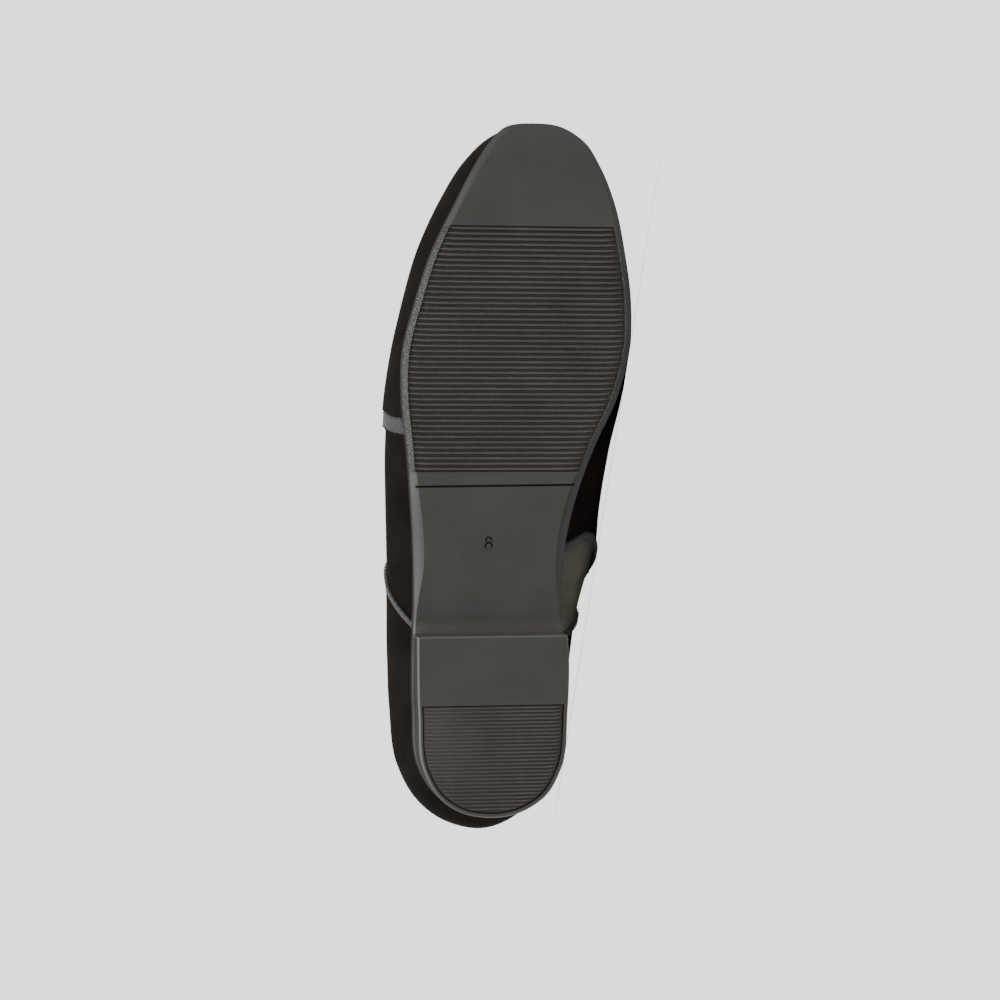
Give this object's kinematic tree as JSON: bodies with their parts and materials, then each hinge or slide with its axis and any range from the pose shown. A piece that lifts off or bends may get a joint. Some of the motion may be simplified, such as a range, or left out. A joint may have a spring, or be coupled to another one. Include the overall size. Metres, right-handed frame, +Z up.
{
  "type": "velvet slipper loafer",
  "caption": "Low-heeled velvet slip-on loafer with a ribbed rubber unit sole, an elastic side gore and grosgrain bindings, lying on its inner side.",
  "frame": {"origin": "on the floor under the middle of the shoe as it lies on its inner side", "axes": "+X along the floor towards the toe, +Z up and away from the inner side that the shoe lies on, +Y from the sole towards the collar"},
  "size_m": [0.2718, 0.0782, 0.0899],
  "materials": {
    "rubber": "matte",
    "tread_rubber": "matte",
    "lining": "matte",
    "velvet": "matte",
    "elastic": "matte",
    "grosgrain": "matte"
  },
  "bodies": {
    "root": {"outsole": "rubber", "heel_tread": "tread_rubber", "insole": "lining", "upper": "velvet", "gore": "elastic", "vamp_binding_lateral": "grosgrain", "vamp_binding_medial": "grosgrain", "quarter_binding_lateral": "grosgrain", "quarter_binding_medial": "grosgrain", "collar_binding": "grosgrain"}
  },
  "joints": []
}
